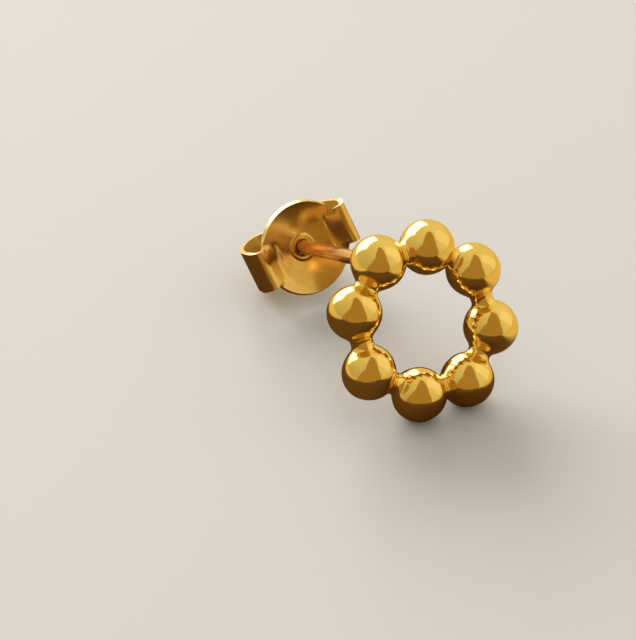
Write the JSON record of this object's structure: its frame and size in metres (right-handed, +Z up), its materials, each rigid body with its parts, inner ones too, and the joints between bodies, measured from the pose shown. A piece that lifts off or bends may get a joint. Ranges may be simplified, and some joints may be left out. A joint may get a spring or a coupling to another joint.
{
  "type": "ball stud earring",
  "caption": "Stud earring: an open ring of soldered gold balls on a straight ear post, held by a butterfly nut with a dished disc and two rolled wings.",
  "frame": {"origin": "middle of the box at the table that the earring rests on", "axes": "+Z up from the table, +Y the way the ear post runs to the back, -Y the way the ring of balls faces"},
  "size_m": [0.0108, 0.0176, 0.0096],
  "materials": {
    "gold_cast": "polished gold over cast and soldered metal, with slight casting facets and dents",
    "gold_sheet": "gold over stamped and rolled sheet, a little less bright in the dish, with worn bright edges"
  },
  "bodies": {
    "stud": {"ball_ring_post": "gold_cast"},
    "nut": {"scroll_nut": "gold_sheet"}
  },
  "joints": [
    {"name": "nut_slide", "type": "slide", "parent": "stud", "child": "nut", "axis": [0, 0.8637, -0.504], "range_m": [-0.0075, 0.0028]}
  ]
}
